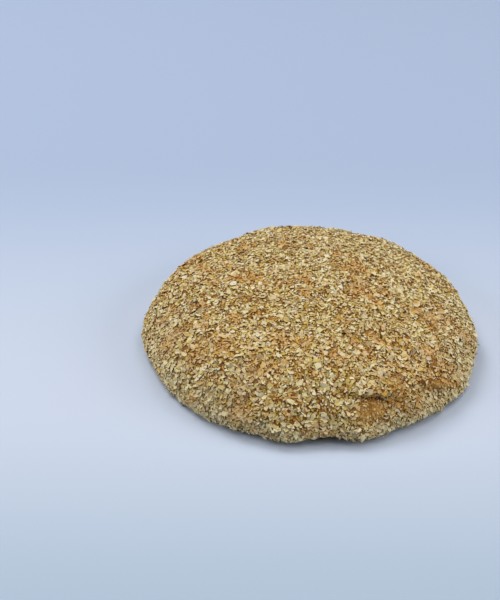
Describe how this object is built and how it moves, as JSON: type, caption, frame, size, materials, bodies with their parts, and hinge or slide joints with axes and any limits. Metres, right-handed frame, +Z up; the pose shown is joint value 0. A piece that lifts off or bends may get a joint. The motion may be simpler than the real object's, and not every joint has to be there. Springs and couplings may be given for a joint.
{
  "type": "sourdough loaf",
  "caption": "Flat round whole sourdough loaf with a low dome, a flat base and a crust rolled in coarse bran flakes.",
  "frame": {"origin": "middle of the loaf's plan, in the plane of its flat base", "axes": "+Z up from the base to the crown, -Y towards the viewer of the picture, +X to the viewer's right"},
  "size_m": [0.2004, 0.198, 0.0425],
  "materials": {
    "crust": "dry matt baked crust, covered with pale straw-coloured bran flakes"
  },
  "bodies": {
    "root": {"loaf": "crust"}
  },
  "joints": []
}
